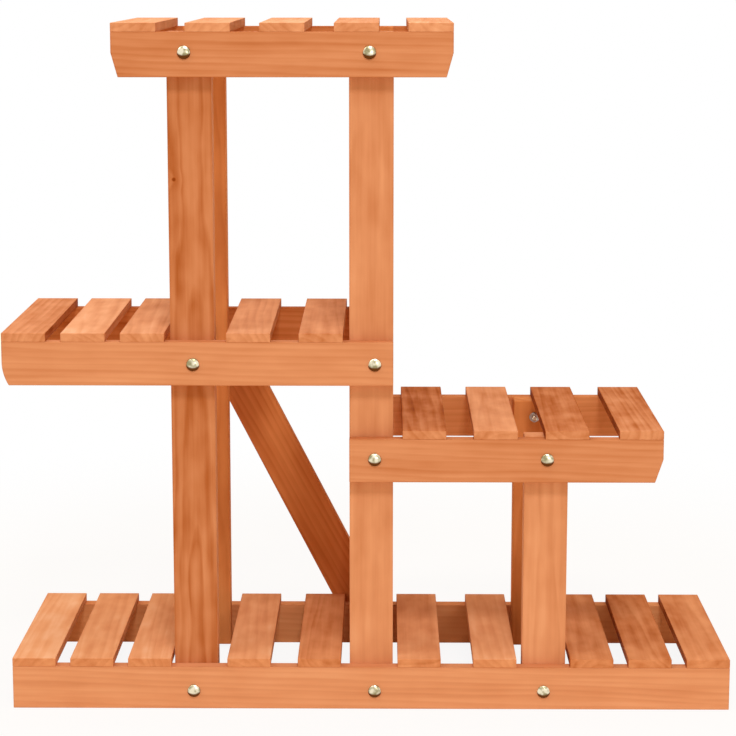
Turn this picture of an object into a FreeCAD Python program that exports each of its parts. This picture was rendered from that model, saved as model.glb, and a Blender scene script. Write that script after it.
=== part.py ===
import FreeCAD, Part
import math
import os

# Tiered plant stand in softwood.  Four slatted shelves are bolted to three
# pairs of posts at different heights, and one diagonal brace is bolted across
# the back.  X runs along the stand, Y from front to back and Z up from the
# floor.  All sizes are in millimetres.

Vector = FreeCAD.Vector

# ---- timber sections
rail_height = 50.0
rail_thickness = 15.0
slat_width = 50.0
slat_thickness = 10.0
post_width = 50.0
post_thickness = 25.0
brace_width = 52.0
brace_thickness = 15.0
edge_ease = 1.5                # bevel along the long edges of every board

# ---- the frame, front to back and off the floor
frame_depth = 250.0            # front rail's outer face to rear rail's outer face
foot_clearance = 6.0           # the posts stop this far above the floor

# ---- along the stand: post centres, and what runs on past the outermost post's side
left_span = 203.5              # left post's centre to middle post's centre
right_span = 200.5             # middle post's centre to right post's centre
base_left_overhang = 187.0
base_right_overhang = 189.0
left_shelf_overhang = 190.0
right_shelf_overhang = 107.0
top_shelf_left_overhang = 60.0
top_shelf_right_overhang = 66.0

# ---- floor to the underside of a shelf's rails; the base's rails stand on the floor
right_shelf_clear_height = 270.0
left_shelf_clear_height = 382.0
top_shelf_clear_height = 730.0

# ---- free rail ends lose their lower corner, by a bevel or by an arc
end_cut_rise = 27.0
end_cut_run = 7.5
right_shelf_end_cut_run = 9.0

# ---- slats in each bay of a shelf
outer_bay_slat_count = 3
inner_bay_slat_count = 2
right_shelf_slat_count = 3     # and one more at the rail's end
top_shelf_slat_count = 5

# ---- free space between a post's side and the slat beside it
base_gap_before_left_post = 3.0
base_gap_after_left_post = 12.0
base_gap_before_middle_post = 10.0
base_gap_after_middle_post = 5.5
base_gap_before_right_post = 7.5
base_gap_after_right_post = 4.5
left_shelf_gap_before_left_post = 5.5
left_shelf_gap_after_left_post = 14.5
left_shelf_gap_before_middle_post = 7.0
right_shelf_gap_after_middle_post = 10.5
right_shelf_slat_past_right_post = 22.5

# ---- bolts: M6 mushroom head with a square neck, washer and hexagon nut
bolt_diameter = 6.0
bolt_head_diameter = 15.0
bolt_head_height = 3.6
bolt_head_rim = 0.7            # straight rim under the dome
bolt_neck_length = 3.0         # square neck as wide as the bolt, drawn into the wood
bolt_end_bevel = 0.7
bolt_projection = 3.4          # thread showing past the nut
washer_diameter = 12.0
washer_thickness = 1.6
nut_across_flats = 10.0
nut_thickness = 5.0
nut_bevel = 0.6
wood_hole_clearance = 0.3      # radial, bolt in rail, post and brace
washer_clearance = 0.2         # radial, bolt in washer
nut_clearance = 0.05           # radial, bolt in nut
neck_clearance = 0.1           # each side, neck in its square seat
round_sides = 12               # flats round each round piece and hole
nut_sides = 6
# rings of the dome, as shares of the head's radius and of the dome's height
dome_ring_shares = [(0.3, 1.0), (0.7, 0.55), (1.0, 0.0)]

# ---- bolt heights above the middle line of their rail
base_bolt_rise = -3.5
left_shelf_bolt_rise = -0.7
right_shelf_front_bolt_rise = 1.5
right_shelf_rear_bolt_rise = 5.0
top_shelf_bolt_rise = 2.5

# ---- bolt offsets from the centre line of their post
base_left_bolt_offset = -2.0
base_middle_bolt_offset = 4.0
base_right_bolt_offset = -1.0
left_shelf_left_bolt_offset = 1.7
left_shelf_middle_bolt_offset = 4.0
right_shelf_middle_bolt_offset = 4.0
right_shelf_right_bolt_offset = 0.0
top_shelf_left_bolt_offset = -3.8
top_shelf_middle_bolt_offset = -2.0
brace_top_bolt_offset = 4.0    # on the left post, through the left shelf's rear rail
brace_foot_bolt_offset = -2.5  # on the middle post, through the base's rear rail
brace_end_inset = 3.0          # the brace ends this far inside its rails' edges

# ---- brads: two through each slat into each rail, set below the surface
brad_width = 1.3
brad_thickness = 1.0
brad_length = 20.0
brad_set_depth = 1.5
brad_spacing = 28.0
brad_clearance = 0.05          # each side

# ---- places worked out from the sizes above
half_post = post_width / 2
left_post_x = base_left_overhang + half_post
middle_post_x = left_post_x + left_span
right_post_x = middle_post_x + right_span
base_length = right_post_x + half_post + base_right_overhang
left_shelf_start = left_post_x - half_post - left_shelf_overhang
left_shelf_end = middle_post_x + half_post
right_shelf_start = middle_post_x - half_post
right_shelf_end = right_post_x + half_post + right_shelf_overhang
top_shelf_start = left_post_x - half_post - top_shelf_left_overhang
top_shelf_end = middle_post_x + half_post + top_shelf_right_overhang
rear_post_front = frame_depth - rail_thickness - post_thickness

# ---- the frame's origin: centre of the bounding box, on the floor
lowest_x = min(0.0, left_shelf_start, top_shelf_start)
highest_x = max(base_length, right_shelf_end, top_shelf_end)
origin = Vector((lowest_x + highest_x) / 2, (frame_depth + brace_thickness) / 2, 0.0)

# One entry per shelf: the rails' underside, reach and end cuts, as (kind, run); the
# bays that slats fill, as (from, to, count); the bolts' rises, front and rear; the
# bolts as (post centre, front offset, rear offset); and the post where the rear
# bolt also holds the brace.
shelves = {
    "base": {
        "level": 0.0,
        "reach": (0.0, base_length),
        "end_cuts": (("square", 0.0), ("square", 0.0)),
        "bays": [
            (0.0, left_post_x - half_post - base_gap_before_left_post, outer_bay_slat_count),
            (left_post_x + half_post + base_gap_after_left_post,
             middle_post_x - half_post - base_gap_before_middle_post, inner_bay_slat_count),
            (middle_post_x + half_post + base_gap_after_middle_post,
             right_post_x - half_post - base_gap_before_right_post, inner_bay_slat_count),
            (right_post_x + half_post + base_gap_after_right_post, base_length, outer_bay_slat_count),
        ],
        "bolt_rises": (base_bolt_rise, base_bolt_rise),
        "bolts": [
            (left_post_x, base_left_bolt_offset, base_left_bolt_offset),
            (middle_post_x, base_middle_bolt_offset, brace_foot_bolt_offset),
            (right_post_x, base_right_bolt_offset, base_right_bolt_offset),
        ],
        "braced_post": middle_post_x,
    },
    "left_shelf": {
        "level": left_shelf_clear_height,
        "reach": (left_shelf_start, left_shelf_end),
        "end_cuts": (("arc", end_cut_run), ("square", 0.0)),
        "bays": [
            (left_shelf_start, left_post_x - half_post - left_shelf_gap_before_left_post,
             outer_bay_slat_count),
            (left_post_x + half_post + left_shelf_gap_after_left_post,
             middle_post_x - half_post - left_shelf_gap_before_middle_post,
             inner_bay_slat_count),
        ],
        "bolt_rises": (left_shelf_bolt_rise, left_shelf_bolt_rise),
        "bolts": [
            (left_post_x, left_shelf_left_bolt_offset, brace_top_bolt_offset),
            (middle_post_x, left_shelf_middle_bolt_offset, left_shelf_middle_bolt_offset),
        ],
        "braced_post": left_post_x,
    },
    "right_shelf": {
        "level": right_shelf_clear_height,
        "reach": (right_shelf_start, right_shelf_end),
        "end_cuts": (("square", 0.0), ("bevel", right_shelf_end_cut_run)),
        "bays": [
            (middle_post_x + half_post + right_shelf_gap_after_middle_post,
             right_post_x + half_post + right_shelf_slat_past_right_post,
             right_shelf_slat_count),
            (right_shelf_end - slat_width, right_shelf_end, 1),
        ],
        "bolt_rises": (right_shelf_front_bolt_rise, right_shelf_rear_bolt_rise),
        "bolts": [
            (middle_post_x, right_shelf_middle_bolt_offset, right_shelf_middle_bolt_offset),
            (right_post_x, right_shelf_right_bolt_offset, right_shelf_right_bolt_offset),
        ],
        "braced_post": None,
    },
    "top_shelf": {
        "level": top_shelf_clear_height,
        "reach": (top_shelf_start, top_shelf_end),
        "end_cuts": (("bevel", end_cut_run), ("bevel", end_cut_run)),
        "bays": [(top_shelf_start, top_shelf_end, top_shelf_slat_count)],
        "bolt_rises": (top_shelf_bolt_rise, top_shelf_bolt_rise),
        "bolts": [
            (left_post_x, top_shelf_left_bolt_offset, top_shelf_left_bolt_offset),
            (middle_post_x, top_shelf_middle_bolt_offset, top_shelf_middle_bolt_offset),
        ],
        "braced_post": None,
    },
}

# One entry per pair of posts: its centre and the shelf that its top is level with.
posts = {
    "left": (left_post_x, "top_shelf"),
    "middle": (middle_post_x, "top_shelf"),
    "right": (right_post_x, "right_shelf"),
}


def line(start, end):
    return Part.LineSegment(start, end).toShape()


def polygon(corners):
    return Part.Face(Part.makePolygon(corners + corners[:1]))


def turned(profile, sides=round_sides):
    # A closed body round Y, in flats.  The profile is its rings as (radius, y).
    rings = []
    for radius, y in profile:
        angles = [(index + 0.5) * 2 * math.pi / sides for index in range(sides)]
        rings.append([Vector(radius * math.cos(a), y, radius * math.sin(a)) for a in angles])
    faces = [polygon(rings[0]), polygon(rings[-1])]
    for near, far in zip(rings, rings[1:]):
        for index in range(sides):
            step = (index + 1) % sides
            faces.append(polygon([near[index], near[step], far[step], far[index]]))
    return Part.makeSolid(Part.makeShell(faces)).removeSplitter()


def eased(board, grain):
    # Bevels the long edges, those that run with the grain.
    ease = min(edge_ease, slat_thickness / 4)
    parallel = 0.999
    long_edges = []
    for edge in board.Edges:
        run = edge.valueAt(edge.LastParameter) - edge.valueAt(edge.FirstParameter)
        if abs(run.dot(grain)) > parallel * edge.Length:
            long_edges.append(edge)
    return board.makeChamfer(ease, long_edges)


def slat_starts(shelf):
    # Slats stand evenly in each bay, the first and last flush with its ends.
    starts = []
    for bay_start, bay_end, count in shelf["bays"]:
        pitch = (bay_end - bay_start - slat_width) / max(count - 1, 1)
        starts += [bay_start + pitch * index for index in range(count)]
    return starts


def bolt_places(shelf):
    # Every bolt as (x, z, outer face, direction into the wood, wood gripped).
    places = []
    middle = shelf["level"] + rail_height / 2
    grip = rail_thickness + post_thickness
    for post_x, front_offset, rear_offset in shelf["bolts"]:
        front_rise, rear_rise = shelf["bolt_rises"]
        places.append((post_x + front_offset, middle + front_rise, 0.0, 1.0, grip))
        over = brace_thickness if post_x == shelf["braced_post"] else 0.0
        places.append((post_x + rear_offset, middle + rear_rise,
                       frame_depth + over, -1.0, grip + over))
    return places


def set_in_place(fastener, place):
    # Fasteners are made pointing along +Y from the wood's face, and those at the
    # rear are turned round.
    x, z, face, inward, grip = place
    if inward < 0:
        fastener.rotate(Vector(0, 0, 0), Vector(0, 0, 1), 180)
    fastener.translate(Vector(x, face, z))
    return fastener


def square_neck(side, length):
    return Part.makeBox(side, length, side, Vector(-side / 2, 0, -side / 2))


def bolt_hole(place):
    # The clearance hole, with the square seat that the neck draws in the wood.
    grip = place[-1]
    radius = bolt_diameter / 2 + wood_hole_clearance
    hole = turned([(radius, 0), (radius, grip)])
    seat = square_neck(bolt_diameter + 2 * neck_clearance, bolt_neck_length + neck_clearance)
    return set_in_place(hole.fuse(seat), place)


def end_cut(x, inward, kind, run):
    # One end of a rail's outline, from the top corner down to the underside.
    corner = Vector(x, 0, rail_height)
    if kind == "square":
        return [line(corner, Vector(x, 0, 0))]
    shoulder = Vector(x, 0, end_cut_rise)
    toe = Vector(x + inward * run, 0, 0)
    if kind == "bevel":
        return [line(corner, shoulder), line(shoulder, toe)]
    radius = (end_cut_rise ** 2 + run ** 2) / (2 * run)
    turn = math.asin(end_cut_rise / radius) / 2
    middle = Vector(x + inward * radius * (1 - math.cos(turn)), 0,
                    end_cut_rise - radius * math.sin(turn))
    return [line(corner, shoulder), Part.Arc(shoulder, middle, toe).toShape()]


def make_rail(shelf, outer_face, inward, holes):
    start, end = shelf["reach"]
    left_end = end_cut(start, 1.0, *shelf["end_cuts"][0])
    right_end = end_cut(end, -1.0, *shelf["end_cuts"][1])
    left_toe = left_end[-1].Vertexes[-1].Point
    right_toe = right_end[-1].Vertexes[-1].Point
    top_edge = line(Vector(start, 0, rail_height), Vector(end, 0, rail_height))
    edges = left_end + right_end + [top_edge, line(left_toe, right_toe)]
    outline = Part.Face(Part.Wire(Part.sortEdges(edges)[0]))
    rail = eased(outline.extrude(Vector(0, rail_thickness, 0)), Vector(1, 0, 0))
    rail.translate(Vector(0, min(outer_face, outer_face + inward * rail_thickness), shelf["level"]))
    return rail.cut(holes)


def make_slat(start, shelf):
    base = Vector(start, 0, shelf["level"] + rail_height)
    return eased(Part.makeBox(slat_width, frame_depth, slat_thickness, base), Vector(0, 1, 0))


def make_post(centre, top_shelf, front_face, holes):
    top = shelves[top_shelf]["level"] + rail_height
    base = Vector(centre - half_post, front_face, foot_clearance)
    post = Part.makeBox(post_width, post_thickness, top - foot_clearance, base)
    return eased(post, Vector(0, 0, 1)).cut(holes)


def make_brace(holes):
    # A board on the slant, with its centre line through its two bolts and both ends
    # sawn level just inside the rails' edges.
    half_rail = rail_height / 2
    foot = Vector(middle_post_x + brace_foot_bolt_offset, 0, half_rail + base_bolt_rise)
    top = Vector(left_post_x + brace_top_bolt_offset, 0,
                 left_shelf_clear_height + half_rail + left_shelf_bolt_rise)
    along = (top - foot).normalize()
    half_width = brace_width / 2 / along.z
    low_z = brace_end_inset
    high_z = left_shelf_clear_height + rail_height - brace_end_inset
    low_x = foot.x + (low_z - foot.z) * along.x / along.z
    high_x = foot.x + (high_z - foot.z) * along.x / along.z
    corners = [
        Vector(low_x - half_width, frame_depth, low_z),
        Vector(low_x + half_width, frame_depth, low_z),
        Vector(high_x + half_width, frame_depth, high_z),
        Vector(high_x - half_width, frame_depth, high_z),
    ]
    board = polygon(corners).extrude(Vector(0, brace_thickness, 0))
    return eased(board, along).cut(holes)


def make_bolt(place):
    # The dome, its rim, the shank and its bevelled end, then the square neck.
    length = place[-1] + washer_thickness + nut_thickness + bolt_projection
    radius = bolt_diameter / 2
    head_radius = bolt_head_diameter / 2
    dome_height = bolt_head_height - bolt_head_rim
    profile = [(head_radius * width, -bolt_head_rim - dome_height * height)
               for width, height in dome_ring_shares]
    profile += [
        (head_radius, 0),
        (radius, 0),
        (radius, length - bolt_end_bevel),
        (radius - bolt_end_bevel, length),
    ]
    neck = square_neck(bolt_diameter, bolt_neck_length)
    return set_in_place(turned(profile).fuse(neck), place)


def make_washer(place):
    inner, outer = place[-1], place[-1] + washer_thickness
    bore_radius = bolt_diameter / 2 + washer_clearance
    disc = turned([(washer_diameter / 2, inner), (washer_diameter / 2, outer)])
    return set_in_place(disc.cut(turned([(bore_radius, inner), (bore_radius, outer)])), place)


def make_nut(place):
    # A hexagon bevelled at the end away from the washer.
    seat = place[-1] + washer_thickness
    end = seat + nut_thickness
    corner_radius = nut_across_flats / 2 / math.cos(math.pi / nut_sides)
    bore_radius = bolt_diameter / 2 + nut_clearance
    hexagon = turned([
        (corner_radius, seat),
        (corner_radius, end - nut_bevel),
        (corner_radius - nut_bevel, end),
    ], nut_sides)
    return set_in_place(hexagon.cut(turned([(bore_radius, seat), (bore_radius, end)])), place)


def brad_boxes(shelf, start, growth):
    # The four brads of one slat, each side widened by the growth.
    boxes = []
    slat_top = shelf["level"] + rail_height + slat_thickness
    middle = start + slat_width / 2
    for x in (middle - brad_spacing / 2, middle + brad_spacing / 2):
        for y in (rail_thickness / 2, frame_depth - rail_thickness / 2):
            corner = Vector(x - brad_width / 2 - growth, y - brad_thickness / 2 - growth,
                            slat_top - brad_set_depth - brad_length - growth)
            boxes.append(Part.makeBox(brad_width + 2 * growth, brad_thickness + 2 * growth,
                                      brad_length + 2 * growth, corner))
    return boxes


def save(name, solids):
    shape = solids[0].copy() if len(solids) == 1 else Part.makeCompound(solids).copy()
    shape.translate(-origin)
    shape.exportStep(os.path.join("parts", name + ".step"))
    print(name, len(shape.Solids))


os.makedirs("parts", exist_ok=True)

all_holes = []
for shelf in shelves.values():
    all_holes += [bolt_hole(place) for place in bolt_places(shelf)]

for name, shelf in shelves.items():
    brads = []
    brad_holes = []
    for start in slat_starts(shelf):
        brads += brad_boxes(shelf, start, 0.0)
        brad_holes += brad_boxes(shelf, start, brad_clearance)
    cuts = all_holes + brad_holes
    save(name + "_front_rail", [make_rail(shelf, 0.0, 1.0, cuts)])
    save(name + "_rear_rail", [make_rail(shelf, frame_depth, -1.0, cuts)])
    for number, start in enumerate(slat_starts(shelf), 1):
        save(name + "_slat_" + str(number), [make_slat(start, shelf).cut(brad_holes)])
    save(name + "_brads", brads)
    save(name + "_bolts", [make_bolt(place) for place in bolt_places(shelf)])
    save(name + "_washers", [make_washer(place) for place in bolt_places(shelf)])
    save(name + "_nuts", [make_nut(place) for place in bolt_places(shelf)])

for name, (centre, top_shelf) in posts.items():
    save(name + "_front_post", [make_post(centre, top_shelf, rail_thickness, all_holes)])
    save(name + "_rear_post", [make_post(centre, top_shelf, rear_post_front, all_holes)])

save("diagonal_brace", [make_brace(all_holes)])
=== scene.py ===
import math

import bpy
import numpy as np
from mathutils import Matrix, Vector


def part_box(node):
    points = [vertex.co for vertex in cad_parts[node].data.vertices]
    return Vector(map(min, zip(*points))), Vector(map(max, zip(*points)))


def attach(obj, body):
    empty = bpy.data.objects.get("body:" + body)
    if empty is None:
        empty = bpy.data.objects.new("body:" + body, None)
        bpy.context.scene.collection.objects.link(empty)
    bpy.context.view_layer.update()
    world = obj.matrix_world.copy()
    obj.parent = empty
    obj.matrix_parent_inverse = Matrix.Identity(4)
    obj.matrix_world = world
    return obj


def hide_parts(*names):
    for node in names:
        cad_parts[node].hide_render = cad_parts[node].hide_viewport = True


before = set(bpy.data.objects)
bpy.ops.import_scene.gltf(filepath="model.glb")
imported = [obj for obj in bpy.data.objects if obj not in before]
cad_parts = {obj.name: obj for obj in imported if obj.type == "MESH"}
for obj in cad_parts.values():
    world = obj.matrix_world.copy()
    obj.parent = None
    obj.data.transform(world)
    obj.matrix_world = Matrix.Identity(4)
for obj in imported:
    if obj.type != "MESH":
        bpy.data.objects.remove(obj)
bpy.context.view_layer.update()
mm = 0.001
draw = np.random.default_rng(27)  # one stream, so every run gives the same boards
print("stand: frame loaded with", len(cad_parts), "nodes")


def fromHex(code):
    # an sRGB hex colour as linear red, green, blue and full alpha
    parts = np.array([int(code[at:at + 2], 16) for at in (0, 2, 4)]) / 255
    linear = np.where(parts <= 0.04045, parts / 12.92, ((parts + 0.055) / 1.055) ** 2.4)
    return (*linear.tolist(), 1.0)


def add(tree, kind, settings, inputs):
    # one node: settings are its own fields, inputs are values or sockets by name or number
    node = tree.nodes.new(kind)
    for field, value in settings.items():
        setattr(node, field, value)
    for socket, value in inputs.items():
        if isinstance(value, bpy.types.NodeSocket):
            tree.links.new(value, node.inputs[socket])
        else:
            node.inputs[socket].default_value = value
    return node


def fillRamp(node, stops):
    # the stops are (position, linear colour), from 0 to 1
    ramp = node.color_ramp
    while len(ramp.elements) < len(stops):
        ramp.elements.new(1.0)
    for element, (position, colour) in zip(ramp.elements, stops):
        element.position = position
        element.color = colour
    return node


def emptyMaterial(name):
    material = bpy.data.materials.new(name)
    material.use_nodes = True
    material.node_tree.nodes.clear()
    return material


def grey(level):
    return (level, level, level, 1.0)


def seenAsWhite(tree):
    # 1 for rays of the camera, of metal and of glass, to which the studio is plain white
    rays = add(tree, "ShaderNodeLightPath", {}, {})
    seen = rays.outputs["Is Camera Ray"]
    for kind in ("Is Glossy Ray", "Is Transmission Ray"):
        seen = add(tree, "ShaderNodeMath", {"operation": "MAXIMUM"}, {
            0: seen, 1: rays.outputs[kind]}).outputs[0]
    return seen


# Planed pine, wiped with a clear orange oil stain and left matt satin. The stain gives the
# eye a warm orange ground. Soft early wood drinks more of it than hard late wood, it takes
# unevenly in patches, and end grain goes darker and redder. The narrow sides of the rails
# and brace go a little darker; the slats' go darker still, which is painted shade, and the
# posts' go paler, which is painted light. Painted shade also deepens the slats' rear ends
# and the boards that lie in shade.
pineLook = {
    # stain depth, from wiped nearly clean to a knot's heart
    "stain": [(0.0, "f4c29f"), (0.2, "ebad83"), (0.36, "e19e73"), (0.5, "d69166"),
              (0.65, "c87f52"), (0.8, "b46636"), (0.9, "a4541f"), (1.0, "8c4114")],
    "ground": 0.36,          # the plain board's depth, to which all that follows is added
    "ringWidth": 7.5,        # mm, from one ring to the next
    "ringSpread": 1.3,       # rings, how far lean and fat years shift a ring
    "yearChange": 0.33,      # how fast lean and fat years change over, per ring
    "ringTaper": 0.03,       # the trunk's taper, which draws the pointed arches
    "ringDepth": 0.13,       # stain depth, as every depth below
    "strengthChange": 0.61,  # how fast strong and faint rings change over, per ring
    # late wood through one ring: it comes on slowly and ends sharply
    "lateWood": [(0.0, 0.0), (0.3, 0.15), (0.6, 0.7), (0.78, 1.0), (0.9, 0.55), (1.0, 0.0)],
    "lateMean": 0.35,        # taken off, so that rings leave a board's mean depth alone
    "wobble": 11.0,          # mm that the rings wander
    "wobbleLength": 210.0,   # mm, along the board
    "wobbleWidth": 36.0,     # mm, across it
    "wobbleDetail": 1.0,
    "fibreLength": 70.0,     # mm
    "fibreWidth": 2.6,       # mm, coarser than real fibre so that it shows at this distance
    "fibreDetail": 1.0,
    "fibreDepth": 0.1,
    "streakLength": 240.0,   # mm, bands of denser wood
    "streakWidth": 11.0,
    "streakDetail": 1.5,
    "streakDepth": 0.36,
    "blotchLength": 60.0,    # mm, patches where the stain took unevenly
    "blotchWidth": 28.0,
    "blotchDetail": 2.0,
    "blotchDepth": 0.34,
    "secondCoat": "fae6bd",  # the tint of the painted shade on boards that lie in shade
    "knotSize": 3.2,         # mm, a pin knot's radius
    "knotReach": 17.0,       # mm round it where the rings bend
    "knotBend": 5.0,         # mm
    "knotDepth": 0.42,
    "roughness": (0.58, 0.74),
    "ior": 1.5,
    "specular": 0.03,        # an oiled surface, with no film on it
    "relief": 0.1,           # mm
    "reliefStrength": 0.5,
    "fibreRelief": 0.6,      # shares of the relief
    "lateRelief": 0.4,
}
pineCuts = {
    # how each kind of board differs, as it was sawn from another part of the log
    "rail": {"ringDepth": 0.08, "streakDepth": 0.3, "blotchDepth": 0.2},
    "slat": {"ringDepth": 0.09, "blotchDepth": 0.5, "blotchLength": 42.0, "blotchWidth": 24.0},
    "post": {"ringWidth": 10.5, "ringDepth": 0.12, "streakDepth": 0.29, "blotchDepth": 0.42,
             "wobble": 22.0, "wobbleLength": 140.0},
    "brace": {"streakDepth": 0.3},
}


def stainedPine(name, look):
    # Rings are circles round the pith: ring count = (distance from the pith line + taper x
    # length + slow noise + bend near a knot) / ring width, shifted by a noise of itself, and
    # its fraction runs from early to late wood. Each ring has its own strength. Stain depth
    # = ground + tone + the patterns x their depths, and the tone carries painted shade as
    # well. A painted shade tint multiplies the colour of the boards that lie in shade.
    material = emptyMaterial(name)
    tree = material.node_tree

    def attribute(key, output):
        return add(tree, "ShaderNodeAttribute", {"attribute_name": key}, {}).outputs[output]

    def calculate(operation, first, second, third=0.0):
        return add(tree, "ShaderNodeMath", {"operation": operation},
                   {0: first, 1: second, 2: third}).outputs[0]

    grain = attribute("grain", "Vector")

    def length(vector):
        return add(tree, "ShaderNodeVectorMath", {"operation": "LENGTH"}, {
            0: vector}).outputs["Value"]

    def scaled(vector, scales):
        return add(tree, "ShaderNodeVectorMath", {"operation": "MULTIPLY"}, {
            0: vector, 1: scales}).outputs[0]

    def noise(pattern):
        # about one wave for each of the pattern's lengths along the grain and widths across
        along, across = (1 / (look[pattern + side] * mm) for side in ("Length", "Width"))
        return add(tree, "ShaderNodeTexNoise", {}, {
            "Vector": scaled(grain, (along, across, across)), "Scale": 1.0,
            "Detail": look[pattern + "Detail"], "Roughness": 0.5}).outputs[0]

    def yearly(rings, change):
        # a noise that depends on the ring alone
        return add(tree, "ShaderNodeTexNoise", {"noise_dimensions": "1D"}, {
            "W": rings, "Scale": look[change], "Detail": 1.0}).outputs[0]

    def nearKnot(distance, reach):
        return add(tree, "ShaderNodeMapRange", {"interpolation_type": "SMOOTHSTEP"}, {
            "Value": distance, "From Min": 0.0, "From Max": look[reach] * mm,
            "To Min": 1.0, "To Max": 0.0}).outputs[0]

    wobble, fibre = noise("wobble"), noise("fibre")
    streak, blotch = noise("streak"), noise("blotch")
    radius = length(scaled(grain, (0.0, 1.0, 1.0)))
    along = add(tree, "ShaderNodeSeparateXYZ", {}, {0: grain}).outputs[0]
    distance = length(attribute("fromKnot", "Vector"))
    rings = calculate("MULTIPLY_ADD", along, look["ringTaper"], radius)
    rings = calculate("MULTIPLY_ADD", wobble, look["wobble"] * mm, rings)
    bent = nearKnot(distance, "knotReach")
    rings = calculate("MULTIPLY_ADD", bent, look["knotBend"] * mm, rings)
    rings = calculate("DIVIDE", rings, look["ringWidth"] * mm)
    rings = calculate("MULTIPLY_ADD", yearly(rings, "yearChange"), look["ringSpread"], rings)
    lateWood = fillRamp(
        add(tree, "ShaderNodeValToRGB", {}, {0: calculate("FRACT", rings, 0.0)}),
        [(stop, grey(level)) for stop, level in look["lateWood"]]).outputs[0]
    ringDepth = calculate("MULTIPLY", yearly(rings, "strengthChange"), look["ringDepth"] * 2)
    ringDepth = calculate("MULTIPLY", ringDepth, attribute("figure", "Fac"))

    late = calculate("SUBTRACT", lateWood, look["lateMean"])
    depth = calculate("MULTIPLY_ADD", late, ringDepth, look["ground"])
    depth = calculate("ADD", depth, attribute("tone", "Fac"))
    for pattern, share in (
            (fibre, "fibreDepth"), (streak, "streakDepth"), (blotch, "blotchDepth")):
        shifted = calculate("SUBTRACT", pattern, 0.5)  # a noise's mean is a half
        depth = calculate("MULTIPLY_ADD", shifted, look[share], depth)
    depth = calculate("MULTIPLY_ADD", nearKnot(distance, "knotSize"), look["knotDepth"], depth)
    stained = fillRamp(add(tree, "ShaderNodeValToRGB", {}, {0: depth}),
                       [(stop, fromHex(code)) for stop, code in look["stain"]]).outputs[0]
    colour = add(tree, "ShaderNodeMix", {"data_type": "RGBA", "blend_type": "MULTIPLY"}, {
        0: attribute("coats", "Fac"), 6: stained, 7: fromHex(look["secondCoat"])}).outputs[2]

    smooth, rough = look["roughness"]
    roughness = add(tree, "ShaderNodeMapRange", {}, {
        "Value": fibre, "To Min": smooth, "To Max": rough}).outputs[0]
    height = calculate("MULTIPLY", lateWood, look["lateRelief"])
    height = calculate("MULTIPLY_ADD", fibre, look["fibreRelief"], height)
    bump = add(tree, "ShaderNodeBump", {}, {
        "Strength": look["reliefStrength"], "Distance": look["relief"] * mm,
        "Height": height}).outputs[0]
    shader = add(tree, "ShaderNodeBsdfPrincipled", {}, {
        "Base Color": colour, "Roughness": roughness, "Normal": bump, "IOR": look["ior"],
        "Specular IOR Level": look["specular"]})
    add(tree, "ShaderNodeOutputMaterial", {}, {"Surface": shader.outputs[0]})
    return material


# Steel fasteners. Bolts are yellow passivated zinc, a pale creamy shine; washers and nuts
# are clear zinc, a cool grey; brads are bare bright steel. A brown crescent is painted
# along the lower rim of each head: painted shade and painted reflection of the dark below it.
metalLooks = {
    # (dull, bright) patches of the plating, and roughness from least to most
    "bolt_yellow_zinc": {
        "name": "yellowZinc", "colours": ("a59a72", "f3e8ca"), "roughness": (0.22, 0.3)},
    "washer_zinc": {
        "name": "clearZincWasher", "colours": ("a9a9a2", "cfcfc8"), "roughness": (0.26, 0.42)},
    "nut_zinc": {
        "name": "clearZincNut", "colours": ("a9a9a2", "cfcfc8"), "roughness": (0.24, 0.38)},
    "brad_steel": {
        "name": "brightSteel", "colours": ("8d8d8b", "b5b5b3"), "roughness": (0.3, 0.45)},
}
platingLook = {
    "spangle": 5.5,          # mm, patches of the plating
    "patchStops": (0.38, 0.6),  # of the noise, where patches are all dull and all bright
    "handling": 0.9,         # mm, fine marks from sorting and driving
    "markDetail": 3.0,
    "markDepth": 0.015,      # mm
    "markStrength": 0.2,
    # the brown of the painted shade along a head's lower rim
    "caughtStain": "6a3a14",
}


def platedSteel(look):
    # Two noises on Object coordinates: wide patches change the colour of the plating, and
    # fine marks change its roughness and give it a slight bump. The piece's own attribute
    # says where the painted shade darkens its lower rim.
    material = emptyMaterial(look["name"])
    tree = material.node_tree
    where = add(tree, "ShaderNodeTexCoord", {}, {}).outputs["Object"]
    patches = add(tree, "ShaderNodeTexNoise", {}, {
        "Vector": where, "Scale": 1 / (platingLook["spangle"] * mm), "Detail": 1.0}).outputs[0]
    marks = add(tree, "ShaderNodeTexNoise", {}, {
        "Vector": where, "Scale": 1 / (platingLook["handling"] * mm),
        "Detail": platingLook["markDetail"]}).outputs[0]
    stops = zip(platingLook["patchStops"], (fromHex(code) for code in look["colours"]))
    plating = add(tree, "ShaderNodeValToRGB", {}, {0: patches})
    plating = fillRamp(plating, list(stops)).outputs[0]
    rimShade = add(tree, "ShaderNodeAttribute", {"attribute_name": "caughtStain"}, {})
    colour = add(tree, "ShaderNodeMix", {"data_type": "RGBA"}, {
        0: rimShade.outputs["Fac"], 6: plating,
        7: fromHex(platingLook["caughtStain"])}).outputs[2]
    smooth, rough = look["roughness"]
    roughness = add(tree, "ShaderNodeMapRange", {}, {
        "Value": marks, "To Min": smooth, "To Max": rough}).outputs[0]
    bump = add(tree, "ShaderNodeBump", {}, {
        "Strength": platingLook["markStrength"], "Distance": platingLook["markDepth"] * mm,
        "Height": marks}).outputs[0]
    shader = add(tree, "ShaderNodeBsdfPrincipled", {}, {
        "Base Color": colour, "Roughness": roughness, "Normal": bump, "Metallic": 1.0})
    add(tree, "ShaderNodeOutputMaterial", {}, {"Surface": shader.outputs[0]})
    return material


materials = {slot: platedSteel(look) for slot, look in metalLooks.items()}
for kind, cut in pineCuts.items():
    materials[kind + "_pine"] = stainedPine("stainedPine" + kind.title(), {**pineLook, **cut})
print("stand: materials made,", len(materials))

sharpAngle = 28.0  # degrees, above which a fastener's edge stays crisp


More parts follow.
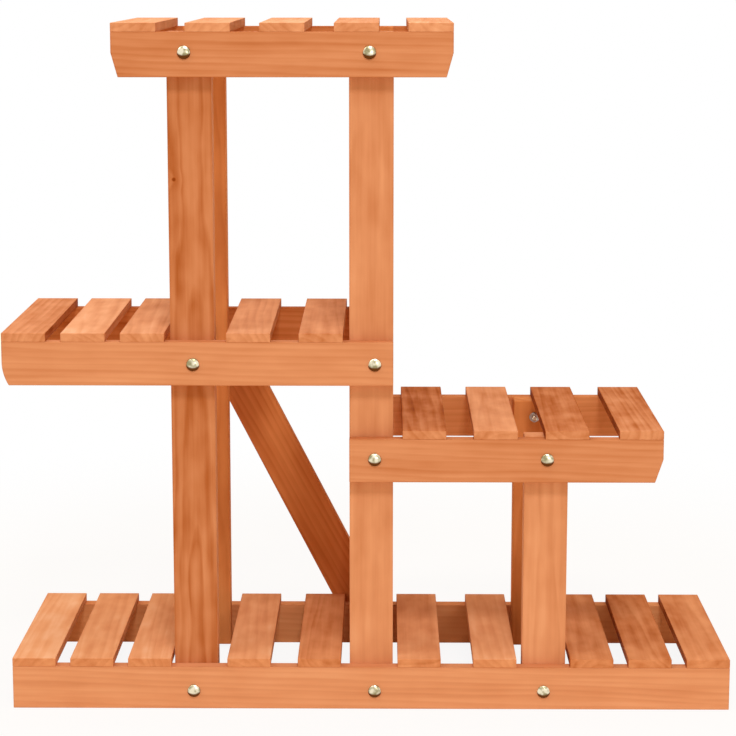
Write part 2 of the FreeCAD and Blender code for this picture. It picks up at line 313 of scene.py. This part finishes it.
def place(name, points, faces, normals, attributes, slot, nodes):
    # A finished piece: its mesh, its finish, the body it rides on and the nodes it stands
    # for. Attributes are a number or a vector for each point.
    mesh = bpy.data.meshes.new(name)
    mesh.from_pydata(points.tolist(), [], faces)
    mesh.polygons.foreach_set("use_smooth", np.ones(len(mesh.polygons), bool))
    for key, values in attributes.items():
        kind, field = ("FLOAT_VECTOR", "vector") if values.ndim == 2 else ("FLOAT", "value")
        column = mesh.attributes.new(key, kind, "POINT")
        column.data.foreach_set(field, values.astype(np.float32).ravel())
    mesh.materials.append(materials[slot])
    mesh.update()
    if normals is None:
        mesh.set_sharp_from_angle(angle=math.radians(sharpAngle))
    else:
        mesh.normals_split_custom_set_from_vertices(normals.tolist())
    piece = bpy.data.objects.new(name, mesh)
    bpy.context.scene.collection.objects.link(piece)
    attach(piece, "root")
    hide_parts(*nodes)
    return piece


boardShape = {
    # mm, radius of the eased edges
    "edges": {"rail": 0.7, "slat": 0.6, "post": 1.0, "brace": 0.8},
    "arcAngles": (45.0, 30.0, 15.0, 0.0),  # degrees, rows of faces round an edge
    "edgeBand": 1.4,         # mm, strip beside an edge
    "cutReach": 40.0,        # mm that an end cut fades over
    "cutRise": 27.0,         # mm up a rail's end
    "cutSoftening": 1.2,     # mm, round the cut's shoulder
    "cutClear": 3.0,         # mm, from the cut's ends to its rows
    "cutRows": 7,
    "braceRows": 7,
    "plainRows": 3,
}


def edgeLines(low, high, edge, inside):
    # the grid's lines on one axis: rows round both edges, the band beside them, and the rest
    steps = edge * (1 - np.tan(np.radians(boardShape["arcAngles"])))
    steps = np.append(steps, edge + boardShape["edgeBand"] * mm)
    return np.unique(np.concatenate([low + steps, high - steps, inside]).round(7))


def roundedBoard(low, high, edge, inside):
    # A box with rounded edges: a point p of the plain box goes to c + edge x unit(p - c),
    # where c is the point of the box shrunk by edge that is nearest to p.
    lines = [edgeLines(low[axis], high[axis], edge, inside[axis]) for axis in range(3)]
    patches, faces, count = [], [], 0
    for axis in range(3):
        first, second = (axis + 1) % 3, (axis + 2) % 3
        u, v = np.meshgrid(lines[first], lines[second], indexing="ij")
        for value, turned in ((lines[axis][0], True), (lines[axis][-1], False)):
            patch = np.zeros(u.shape + (3,))
            patch[..., axis], patch[..., first], patch[..., second] = value, u, v
            number = count + np.arange(u.size).reshape(u.shape)
            quads = np.stack([number[:-1, :-1], number[1:, :-1],
                              number[1:, 1:], number[:-1, 1:]], -1).reshape(-1, 4)
            faces.append(quads[:, ::-1] if turned else quads)
            patches.append(patch.reshape(-1, 3))
            count += u.size
    # the six sides share their edges' points, so the board is closed
    box, shared = np.unique(np.concatenate(patches), axis=0, return_inverse=True)
    core = np.clip(box, low + edge, high - edge)
    normals = box - core
    normals /= np.linalg.norm(normals, axis=1, keepdims=True)
    # nearEdge is 1 at an edge and fades out over the band, by the second nearest side
    margins = np.sort(np.minimum(box - low, high - box), axis=1)[:, 1]
    band = boardShape["edgeBand"] * mm
    nearEdge = np.clip((edge + band - margins) / band, 0, 1)
    return core + edge * normals, normals, shared.ravel()[np.concatenate(faces)], nearEdge


def cutAway(points, normals, height, end, inward, run, kind):
    # Moves a rail's end in along X below the cut's rise. Bevel: run x (1 - h / rise). Arc:
    # R - root(R squared - (rise - h) squared), through both ends of the bevel. The move
    # fades to nothing over the reach, and the normals turn with it.
    rise, reach = boardShape["cutRise"] * mm, boardShape["cutReach"] * mm
    below = np.clip(rise - height, 0, rise)
    if kind == "bevel":
        move, slope = run * below / rise, np.where(height < rise, -run / rise, 0.0)
    else:
        radius = (rise ** 2 + run ** 2) / (2 * run)
        move = radius - np.sqrt(radius ** 2 - below ** 2)
        slope = -below / np.sqrt(radius ** 2 - below ** 2)
    fade = np.clip(1 - np.abs(points[:, 0] - end) / reach, 0, 1)
    stretch = 1 - np.where(fade > 0, move / reach, 0)
    moved, turned = points.copy(), normals.copy()
    moved[:, 0] += inward * move * fade
    turned[:, 0] = normals[:, 0] / stretch
    turned[:, 2] = normals[:, 2] - inward * slope * fade / stretch * normals[:, 0]
    return moved, turned / np.linalg.norm(turned, axis=1, keepdims=True)


axisX, axisY, axisZ = np.eye(3)
boardAxes = {
    # along, across and through each kind of board
    "rail": np.array([axisX, axisZ, axisY]),
    "slat": np.array([axisY, axisX, axisZ]),
    "post": np.array([axisZ, axisX, axisY]),
}
sawing = {
    # pith's distance from the board's middle, in mm: (across, through), least and most
    "rail": ((70, 120), (10, 40)),
    "slat": ((5, 60), (18, 60)),
    "post": ((2, 12), (16, 30)),
    "brace": ((30, 70), (15, 40)),
}
logLength = 3.0  # m, each way from a log's middle, where a board's own middle may have been
railEndCuts = {
    # (left end, right end) as (kind, mm of run)
    "left_shelf": (("arc", 7.5), None),
    "right_shelf": (None, ("bevel", 9.0)),
    "top_shelf": (("bevel", 7.5), ("bevel", 7.5)),
}
boardToneAndShade = {
    # stain depth of each board against the ground: mostly the wood's own tone, as the boards
    # came from several trees, and partly painted shade, deeper on the rear posts and the brace,
    # which lie in shade; those left out vary a little at random
    "base_front_rail": 0.01, "left_shelf_front_rail": 0.09, "right_shelf_front_rail": 0.17,
    "top_shelf_front_rail": 0.2, "base_rear_rail": -0.12, "left_shelf_rear_rail": 0.3,
    "right_shelf_rear_rail": 0.12, "top_shelf_rear_rail": 0.2,
    "left_front_post": 0.28, "middle_front_post": 0.09, "right_front_post": 0.04,
    "left_rear_post": 0.08, "middle_rear_post": 0.12, "right_rear_post": 0.06,
    "diagonal_brace": 0.16,
    "base_slat_1": -0.23, "base_slat_2": -0.10, "base_slat_3": -0.13, "base_slat_4": -0.10,
    "base_slat_5": 0.11, "base_slat_6": 0.00, "base_slat_7": -0.11, "base_slat_8": 0.20,
    "base_slat_9": 0.27, "base_slat_10": 0.15,
    "left_shelf_slat_1": 0.16, "left_shelf_slat_2": -0.08, "left_shelf_slat_3": 0.06,
    "left_shelf_slat_4": 0.04, "left_shelf_slat_5": 0.13,
    "right_shelf_slat_1": 0.38, "right_shelf_slat_2": 0.12, "right_shelf_slat_3": 0.36,
    "right_shelf_slat_4": 0.3,
}
toneSpread = 0.05  # of the boards left out above
# how much deeper the upper or right end of a board is than its other end; on the middle
# front post this is painted light, paler towards its foot
toneSlopes = {"middle_front_post": 0.12, "top_shelf_front_rail": -0.05}
# contrast of the rings against their kind's own
figures = {"left_front_post": 1.0, "middle_front_post": 0.4, "right_front_post": 0.5}
stainAndShade = {
    # how much deeper the narrow sides are: on the slats, whose sides lie in shade in the gaps,
    # it is painted shade, and on the posts, whose sides are paler, painted light
    "sides": {"rail": 0.12, "slat": 0.24, "post": -0.22, "brace": 0.1},
    "edge": 0.05,            # more in the strip beside an edge
    "wiped": 0.1,            # painted shade, deeper towards a slat's rear end
    "ends": 0.14,            # the end grain's own depth
    "endShare": 0.75,        # how far end grain goes to it
}
# painted shade: shares of a deeper, redder tint on the boards that lie in shade, by parts
# of a board's name
paintedShadeTints = {"rear_post": 0.95, "rear_rail": 0.6, "brace": 0.9, "base_slat": 0.3}
pinKnots = {"left_front_post": (-0.220, -0.1175, 0.6149)}  # m, on the post's front face
noKnot = (9.0, 9.0, 9.0)  # m, out of every board's reach
nearPost = (0.03, 0.06)  # m along X and Y from a post's middle, the reach of its own bolt


def kindOf(node):
    for kind in ("rail", "slat", "post", "brace"):
        if kind in node:
            return kind
    return None


def grainOf(points, middle, axes, kind):
    # the board's own place in its log: (along, across, through), with the pith at 0, 0
    pith = [draw.uniform(*reach) * mm for reach in sawing[kind]]
    pith = [away * draw.choice((-1, 1)) for away in pith]
    return (points - middle) @ axes.T + np.array([draw.uniform(-logLength, logLength), *pith])


def boltBoxes():
    # every bolt's box: the corners of its node near one pair of posts, front or rear
    boxes = {}
    for shelf in ("base", "left_shelf", "right_shelf", "top_shelf"):
        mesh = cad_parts[shelf + "_bolts"].data
        corners = np.zeros(len(mesh.vertices) * 3)
        mesh.vertices.foreach_get("co", corners)
        corners = corners.reshape(-1, 3)
        boxes[shelf] = []
        for post in ("left", "middle", "right"):
            for side in ("front", "rear"):
                low, high = (np.array(corner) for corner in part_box(post + "_" + side + "_post"))
                middle = (low + high) / 2
                near = (np.abs(corners - middle)[:, :2] < nearPost).all(1)
                if near.any():
                    boxes[shelf].append((side, corners[near].min(0), corners[near].max(0)))
    return boxes


bolts = boltBoxes()


def evenLines(low, high, rows):
    # lines that part a length evenly, without its ends
    return np.linspace(low, high, rows + 2)[1:-1]


def spread(low, high):
    # the lines across a board, for its tones to follow
    return [evenLines(low[axis], high[axis], boardShape["plainRows"]) for axis in range(3)]


def plainForm(node, kind, low, high, edge):
    return *roundedBoard(low, high, edge, spread(low, high)), boardAxes[kind]


def railForm(node, kind, low, high, edge):
    # a plain board whose free ends are cut away below, left end and right end in turn
    cuts = railEndCuts.get(node.rsplit("_", 2)[0], (None, None))
    inside = spread(low, high)
    if any(cuts):
        rise, reach, soft, clear = (boardShape[key] * mm for key in (
            "cutRise", "cutReach", "cutSoftening", "cutClear"))
        shoulder = low[2] + rise
        inside[0] = np.append(inside[0], [low[0] + reach, high[0] - reach])
        rows = np.linspace(low[2] + clear, shoulder - clear, boardShape["cutRows"])
        inside[2] = np.append(rows, [shoulder - soft, shoulder, shoulder + soft])
    points, normals, faces, nearEdge = roundedBoard(low, high, edge, inside)
    height = points[:, 2] - low[2]
    for cut, end, inward in zip(cuts, (low[0], high[0]), (1.0, -1.0)):
        if cut:
            points, normals = cutAway(points, normals, height, end, inward, cut[1] * mm, cut[0])
    return points, normals, faces, nearEdge, boardAxes[kind]


def braceForm(node, kind, low, high, edge):
    # A plain board sheared along X, so that both of its ends stay level: x goes to x +
    # slope x height above the middle, and the slope runs between the bolts that hold it.
    held = [box for shelf in bolts.values() for side, *box in shelf if box[1][1] > high[1]]
    foot, top = sorted(((box[0] + box[1]) / 2 for box in held), key=lambda centre: centre[2])
    slope = (top[0] - foot[0]) / (top[2] - foot[2])
    middle = (low + high) / 2
    halfWidth = (high[0] - low[0] - abs(slope) * (high[2] - low[2])) / 2
    low = np.array([middle[0] - halfWidth, low[1], low[2]])
    high = np.array([middle[0] + halfWidth, high[1], high[2]])
    inside = [[], [], evenLines(low[2], high[2], boardShape["braceRows"])]
    points, normals, faces, nearEdge = roundedBoard(low, high, edge, inside)
    points[:, 0] += slope * (points[:, 2] - middle[2])
    normals[:, 2] -= slope * normals[:, 0]
    normals /= np.linalg.norm(normals, axis=1, keepdims=True)
    lean = math.hypot(slope, 1)
    axes = np.array([[slope / lean, 0, 1 / lean], [1 / lean, 0, -slope / lean], axisY])
    return points, normals, faces, nearEdge, axes


def toneOf(node, kind, points, normals, nearEdge, axes, low, high):
    # Stain depth = the board's own, with painted shade on the boards that lie in shade + more
    # beside its edges + more on its narrow sides, by the square of how far the face turns to
    # the side, which is painted shade on the slats and painted light on the posts + a slope
    # along the board, painted shade towards a slat's rear end and painted light towards the
    # middle front post's foot. End grain soaks to its own depth, whatever the board's.
    depth = boardToneAndShade.get(node, draw.normal(0, toneSpread)) + stainAndShade["edge"] * nearEdge
    depth = depth + stainAndShade["sides"][kind] * (normals @ axes[1]) ** 2
    along = (points - (low + high) / 2) @ axes[0] / ((high - low) @ np.abs(axes[0]))
    depth = depth + along * toneSlopes.get(node, stainAndShade["wiped"] * (kind == "slat"))
    endGrain = (normals @ axes[0]) ** 2
    return depth + (stainAndShade["ends"] - depth) * stainAndShade["endShare"] * endGrain


def buildBoards():
    forms = {"rail": railForm, "slat": plainForm, "post": plainForm, "brace": braceForm}
    boards = sorted(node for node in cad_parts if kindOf(node))
    for node in boards:
        kind = kindOf(node)
        low, high = (np.array(corner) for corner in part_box(node))
        edge = boardShape["edges"][kind] * mm
        points, normals, faces, nearEdge, axes = forms[kind](node, kind, low, high, edge)
        coats = [share for part, share in paintedShadeTints.items() if part in node]
        attributes = {
            "grain": grainOf(points, (low + high) / 2, axes, kind),
            "tone": toneOf(node, kind, points, normals, nearEdge, axes, low, high),
            "figure": np.full(len(points), figures.get(node, 1.0)),
            "coats": np.full(len(points), max(coats, default=0.0)),
            "fromKnot": points - np.array(pinKnots.get(node, noKnot)),
        }
        place(node + "_board", points, faces.tolist(), normals, attributes,
              kind + "_pine", [node])
    print("stand: boards placed,", len(boards))


buildBoards()

fastenerShape = {
    "headDiameter": 15.0,    # mm, M6 mushroom head
    "headHeight": 3.6,
    "headRim": 0.7,          # mm, upright part of the rim
    "rimRound": 0.25,
    "underHead": 0.6,        # of the head's radius, where a row crosses its flat underside
    "boltDiameter": 6.0,
    "neckLength": 3.0,
    "neckSide": 6.0,
    "threadPitch": 1.0,
    "threadDepth": 0.55,
    "threadLength": 14.0,
    "threadRows": 8,         # to each turn
    "endBevel": 0.9,
    "washerDiameter": 12.0,
    "washerThickness": 1.6,
    "washerHole": 6.4,
    "washerRound": 0.35,
    "washerRows": 4,         # round each corner
    "nutAcrossFlats": 10.0,
    "nutThickness": 5.0,
    "nutHole": 6.1,
    "nutChamferAngle": 30.0,
    "around": 48,            # columns of faces round each piece
    "crownAngle": 84.0,      # degrees, the dome's topmost row
    "domeRows": 13,
    "endPastNut": 3.4,       # mm of thread beyond the nut
    "nutFace": 0.96,         # of the flats, the flat ring on its ends
    "nutBand": 0.6,          # mm that the chamfer may take
    "nutBandRows": 7,
    "nutSideRows": 3,
    "nutSpin": 60.0,         # degrees, within which each nut stopped where it was tight
    # the painted shade along a head's lower rim, in shares of its radius
    "poolRise": 1.2,         # from the bolt's middle up to the crescent's middle
    "poolFrom": 1.5,         # from the crescent's middle to where stain starts
    "poolFade": 0.2,         # on from there to full stain
}


def anglesAround():
    return np.arange(fastenerShape["around"]) * 2 * np.pi / fastenerShape["around"]


def turnedRings(radii, heights):
    # rings round the Y axis: each row is radius x (cos, sin) at its height
    angles = anglesAround()
    radii = np.broadcast_to(radii, (len(heights), len(angles)))
    rise = np.broadcast_to(np.asarray(heights)[:, None], radii.shape)
    return np.stack([radii * np.cos(angles), rise, radii * np.sin(angles)], -1)


def skin(rings, looped):
    # quads between neighbouring rings; a looped skin joins the last ring to the first, and
    # any other is closed by a fan to the middle of each end ring
    rows, columns = rings.shape[:2]
    points = rings.reshape(-1, 3)
    row = np.arange(rows if looped else rows - 1)[:, None]
    column = np.arange(columns)[None, :]
    nextRow, nextColumn = (row + 1) % rows, (column + 1) % columns
    quads = np.stack([row * columns + column, row * columns + nextColumn,
                      nextRow * columns + nextColumn, nextRow * columns + column], -1)
    faces = quads.reshape(-1, 4).tolist()
    if not looped:
        points = np.concatenate([points, rings[0].mean(0)[None], rings[-1].mean(0)[None]])
        ring = np.arange(columns)
        after = (ring + 1) % columns
        start, last = len(points) - 2, (rows - 1) * columns
        faces += np.stack([np.full(columns, start), after, ring], -1).tolist()
        faces += np.stack([np.full(columns, start + 1), last + ring, last + after], -1).tolist()
    return points, faces


def boltBody(length):
    # Dome: an ellipse from near the crown to the rim. Neck: a square of the bolt's width,
    # radius = half side / max(|cos|, |sin|). Thread: the radius dips by a triangle wave of
    # height less turn x pitch, so the groove climbs as it goes round.
    size, angles = fastenerShape, anglesAround()
    head, shank = size["headDiameter"] / 2, size["boltDiameter"] / 2
    rim, dome = size["headRim"], size["headHeight"] - size["headRim"]
    climb = np.radians(np.linspace(size["crownAngle"], 0, size["domeRows"]))
    headRadii = np.append(head * np.cos(climb), [
        head, head - size["rimRound"], head * size["underHead"]])
    headHeights = np.append(-rim - dome * np.sin(climb), [-size["rimRound"], 0.0, 0.0])
    neck = size["neckSide"] / 2 / np.maximum(np.abs(np.cos(angles)), np.abs(np.sin(angles)))
    start, pitch = length - size["threadLength"], size["threadPitch"]
    step = pitch / size["threadRows"]
    threadHeights = np.arange(start + pitch, length + step / 2, step)  # up to the end itself
    wave = threadHeights[:, None] / pitch - angles / (2 * np.pi)
    wave = np.abs(2 * (wave % 1.0) - 1)
    bevel = shank - np.clip(size["endBevel"] - (length - threadHeights), 0, None)
    thread = np.minimum(shank - size["threadDepth"] * (1 - wave), bevel[:, None])
    whole = np.ones(len(angles))
    radii = np.concatenate([
        headRadii[:, None] * whole, [neck, neck, shank * whole, shank * whole], thread])
    heights = np.concatenate([
        headHeights, [0.0, size["neckLength"], size["neckLength"], start], threadHeights])
    return skin(turnedRings(radii, heights), False)


def paintedRimShadeOf(points):
    # a crescent of painted shade along the head's lower rim: (distance from a point poolRise
    # above the bolt's middle - poolFrom) / poolFade, held between 0 and 1, all in shares of
    # the head's radius
    headSize = fastenerShape
    radius = headSize["headDiameter"] / 2
    distance = np.hypot(points[:, 0] / radius, points[:, 2] / radius - headSize["poolRise"])
    shadeShare = np.clip((distance - headSize["poolFrom"]) / headSize["poolFade"], 0, 1)
    return shadeShare * (points[:, 1] < headSize["rimRound"])


def washerBody():
    # a flat ring whose four corners are quarter circles: a corner's centre + washerRound x
    # (cos, sin), a quarter turn further on at each corner
    size = fastenerShape
    inner, outer = size["washerHole"] / 2, size["washerDiameter"] / 2
    thick, soft = size["washerThickness"], size["washerRound"]
    quarter = np.radians(np.linspace(0, 90, size["washerRows"]))
    corners = ((outer - soft, soft, -90), (outer - soft, thick - soft, 0),
               (inner + soft, thick - soft, 90), (inner + soft, soft, 180))
    radii, heights = [], []
    for radius, height, start in corners:
        turn = quarter + np.radians(start)
        radii += (radius + soft * np.cos(turn)).tolist()
        heights += (height + soft * np.sin(turn)).tolist()
    return skin(turnedRings(np.array(radii)[:, None], np.array(heights)), True)


def nutBody():
    # Hexagon: radius = half across flats / cos(angle from the middle of the nearest flat),
    # never more than the cone that chamfers each end: face radius + height / tan(chamfer).
    size, angles = fastenerShape, anglesAround()
    flat, thick = size["nutAcrossFlats"] / 2, size["nutThickness"]
    sixth = np.pi / 3
    hexagon = flat / np.cos((angles + sixth / 2) % sixth - sixth / 2)
    widening = 1 / math.tan(math.radians(size["nutChamferAngle"]))
    band = np.linspace(0, size["nutBand"], size["nutBandRows"])
    middle = np.linspace(2 * size["nutBand"], thick - 2 * size["nutBand"], size["nutSideRows"])
    heights = np.concatenate([band, middle, thick - band[::-1]])
    cone = flat * size["nutFace"] + widening * np.minimum(heights, thick - heights)
    bore = np.full((1, len(angles)), size["nutHole"] / 2)
    radii = np.concatenate([bore, np.minimum(hexagon[None, :], cone[:, None]), bore])
    heights = np.concatenate([[0.0], heights, [thick]])
    return skin(turnedRings(radii, heights), True)


def turnedOutward(points, faces):
    # reverses the faces if the closed mesh they bound has a negative volume, which is a
    # sixth of the sum of a . (b x c) over its triangles
    volume = 0.0
    for sides in (3, 4):
        chosen = np.array([face for face in faces if len(face) == sides])
        for at in range(1, sides - 1):
            if len(chosen):
                a, b, c = points[chosen[:, 0]], points[chosen[:, at]], points[chosen[:, at + 1]]
                volume += np.einsum("ij,ij->", a, np.cross(b, c))
    return [face[::-1] for face in faces] if volume < 0 else faces


def turnedAbout(points, spin):
    # turns points about the Y axis
    x, z = points[:, 0], points[:, 2]
    return np.stack([x * np.cos(spin) - z * np.sin(spin), points[:, 1],
                     x * np.sin(spin) + z * np.cos(spin)], -1)


def buildFasteners():
    size = fastenerShape
    slots = {"bolts": "bolt_yellow_zinc", "washers": "washer_zinc", "nuts": "nut_zinc"}
    for shelf, boxes in bolts.items():
        gathered = {kind: [] for kind in slots}
        for side, low, high in boxes:
            inward = 1.0 if side == "front" else -1.0
            length = (high[1] - low[1]) / mm - size["headHeight"]
            face = (low[1] if side == "front" else high[1]) + inward * size["headHeight"] * mm
            seat = np.array([(low[0] + high[0]) / 2, face, (low[2] + high[2]) / 2])
            grip = length - size["endPastNut"] - size["nutThickness"] - size["washerThickness"]
            spin = np.radians(draw.uniform(0, size["nutSpin"]))
            nutAt = grip + size["washerThickness"]
            for kind, (points, faces), shift, turn in (
                    ("bolts", boltBody(length), 0.0, 0.0),
                    ("washers", washerBody(), grip, 0.0),
                    ("nuts", nutBody(), nutAt, spin)):
                # painted shade along the lower rim, on the bolt heads only
                stain = paintedRimShadeOf(points) * (kind == "bolts")
                points = (turnedAbout(points, turn) + shift * axisY) * (1, inward, 1)
                points = points * mm + seat
                gathered[kind].append((points, turnedOutward(points, faces), stain))
        for kind, slot in slots.items():
            faces, count = [], 0
            for points, own, _ in gathered[kind]:
                faces += [[number + count for number in face] for face in own]
                count += len(points)
            points = np.concatenate([points for points, _, _ in gathered[kind]])
            # the painted shade of every piece of this kind
            stain = np.concatenate([stain for _, _, stain in gathered[kind]])
            name = shelf + "_" + kind
            place(name + "_turned", points, faces, None, {"caughtStain": stain}, slot, [name])
    print("stand: fasteners placed")


buildFasteners()

# the brads are out of sight in the wood, so their solids only get their steel
for node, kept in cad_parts.items():
    if node.endswith("_brads"):
        kept.data.materials.clear()
        kept.data.materials.append(materials["brad_steel"])
print("stand: brads finished")

stageLook = {
    "floorSize": 60.0,       # m
    "floorColour": "efe2cf",
    "shadowShare": 0.1,      # how much of the lit floor the camera sees near the stand
    "whiteFrom": 0.55,       # m from the stand, where the floor starts to go plain white
    "whiteAt": 1.3,
}


def buildFloor():
    half = stageLook["floorSize"] / 2
    corners = [(-half, -half, 0), (half, -half, 0), (half, half, 0), (-half, half, 0)]
    mesh = bpy.data.meshes.new("floor")
    mesh.from_pydata(corners, [], [(0, 1, 2, 3)])
    floor = bpy.data.objects.new("floor", mesh)
    bpy.context.scene.collection.objects.link(floor)
    # Matt pale floor. The camera, metal and glass see mostly plain white, with the stand's
    # shadow left in it near the stand; everything else sees the matt floor.
    material = emptyMaterial("paleFloor")
    tree = material.node_tree
    where = add(tree, "ShaderNodeTexCoord", {}, {}).outputs["Object"]
    away = add(tree, "ShaderNodeVectorMath", {"operation": "LENGTH"}, {0: where})
    white = add(tree, "ShaderNodeMapRange", {"interpolation_type": "SMOOTHSTEP"}, {
        "Value": away.outputs["Value"], "From Min": stageLook["whiteFrom"],
        "From Max": stageLook["whiteAt"], "To Min": 1 - stageLook["shadowShare"],
        "To Max": 1.0}).outputs[0]
    share = add(tree, "ShaderNodeMath", {"operation": "MULTIPLY"}, {
        0: seenAsWhite(tree), 1: white}).outputs[0]
    matt = add(tree, "ShaderNodeBsdfDiffuse", {}, {"Color": fromHex(stageLook["floorColour"])})
    plain = add(tree, "ShaderNodeEmission", {}, {"Color": grey(1.0), "Strength": 1.0})
    mixed = add(tree, "ShaderNodeMixShader", {}, {
        0: share, 1: matt.outputs[0], 2: plain.outputs[0]})
    add(tree, "ShaderNodeOutputMaterial", {}, {"Surface": mixed.outputs[0]})
    mesh.materials.append(material)


lightLook = {
    "ambient": (0.57, "ffe3c0"),  # strength and colour, a little warm
    # square area lamps, in watts and metres
    "key": {"watts": 80.0, "size": 0.9, "from": (0.45, -3.2, 4.2), "aim": (0.0, 0.0, 0.35)},
    "front": {"watts": 6.0, "size": 0.5, "from": (0.75, -2.6, 0.8), "aim": (0.0, 0.0, 0.35)},
    "top": {"watts": 74.0, "size": 2.8, "from": (0.0, 0.1, 5.0), "aim": (0.0, 0.0, 0.3)},
    "left": {"watts": 11.0, "size": 1.2, "from": (-1.6, -0.6, 2.4), "aim": (0.0, 0.0, 0.3)},
}


def buildWorld():
    world = bpy.data.worlds.new("studio")
    bpy.context.scene.world = world
    world.use_nodes = True
    tree = world.node_tree
    tree.nodes.clear()
    level, warmth = lightLook["ambient"]
    fill = add(tree, "ShaderNodeBackground", {}, {"Color": fromHex(warmth), "Strength": level})
    white = add(tree, "ShaderNodeBackground", {}, {"Color": grey(1.0), "Strength": 1.0})
    mixed = add(tree, "ShaderNodeMixShader", {}, {
        0: seenAsWhite(tree), 1: fill.outputs[0], 2: white.outputs[0]})
    add(tree, "ShaderNodeOutputWorld", {}, {"Surface": mixed.outputs[0]})


def buildLights():
    for name in ("key", "front", "top", "left"):
        look = lightLook[name]
        light = bpy.data.lights.new(name, "AREA")
        light.shape = "SQUARE"
        light.size = look["size"]
        light.energy = look["watts"]
        lamp = bpy.data.objects.new(name, light)
        bpy.context.scene.collection.objects.link(lamp)
        start, aim = np.array(look["from"]), np.array(look["aim"])
        toward = (aim - start) / np.linalg.norm(aim - start)
        lamp.location = look["from"]
        lamp.rotation_euler = (math.acos(-toward[2]), 0.0, math.atan2(-toward[0], toward[1]))


cameraLook = {
    "place": (0.0172, -2.3858, 0.8459),  # m, just above the top shelf
    "pitchDown": 8.738,                  # degrees
    "turnLeft": 0.479,                   # degrees
    "lens": 99.29,                       # mm
    "sensor": 36.0,                      # mm
    "shiftY": -0.115,                    # of the picture's width
}


def buildCamera():
    data = bpy.data.cameras.new("camera")
    data.lens = cameraLook["lens"]
    data.sensor_width = cameraLook["sensor"]
    data.shift_y = cameraLook["shiftY"]
    camera = bpy.data.objects.new("camera", data)
    camera.location = cameraLook["place"]
    camera.rotation_euler = (math.radians(90 - cameraLook["pitchDown"]), 0.0,
                             math.radians(cameraLook["turnLeft"]))
    bpy.context.scene.collection.objects.link(camera)
    bpy.context.scene.camera = camera


buildFloor()
buildWorld()
buildLights()
buildCamera()
bpy.context.scene.view_settings.view_transform = "Standard"
print("stand: stage, lights and camera set")
